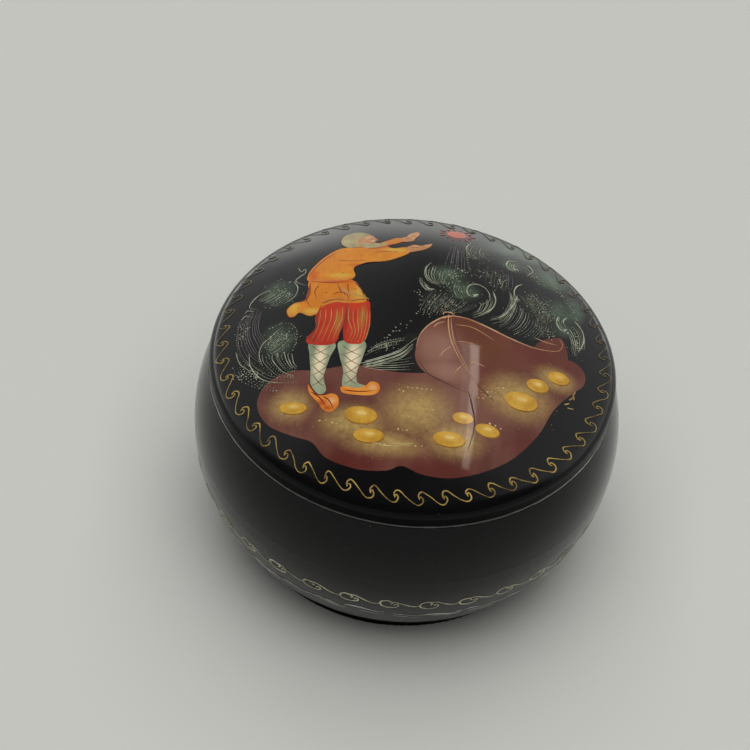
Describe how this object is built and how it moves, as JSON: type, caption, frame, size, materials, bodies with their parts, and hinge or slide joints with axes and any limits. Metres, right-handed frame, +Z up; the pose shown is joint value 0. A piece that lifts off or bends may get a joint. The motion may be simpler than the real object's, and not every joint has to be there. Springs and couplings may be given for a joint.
{
  "type": "round lacquer box",
  "caption": "Round black lacquered papier-mache box with a bulging turned body, a low foot ring and a gently domed lift-off lid that locates on an inner collar.",
  "frame": {"origin": "centre of the foot ring's resting face", "axes": "+Z up along the turning axis, through the crown of the lid; -Y towards the front of the painting"},
  "size_m": [0.0958, 0.0958, 0.0601],
  "materials": {
    "black_lacquer": "gloss black lacquer over papier-mache",
    "red_lacquer": "gloss red lacquer over papier-mache",
    "gold_line": "hand-painted gold under clear lacquer",
    "tempera_paint": "miniature painting under clear lacquer"
  },
  "bodies": {
    "box": {"body_wall": "black_lacquer", "base_disc": "red_lacquer", "foot_ring": "black_lacquer", "lip_collar": "red_lacquer"},
    "lid": {"lid_rim": "black_lacquer", "lid_dome": "black_lacquer"}
  },
  "joints": [
    {"name": "lid_lift", "type": "slide", "parent": "box", "child": "lid", "axis": [0, 0, 1], "range_m": [0, 0.03]}
  ]
}
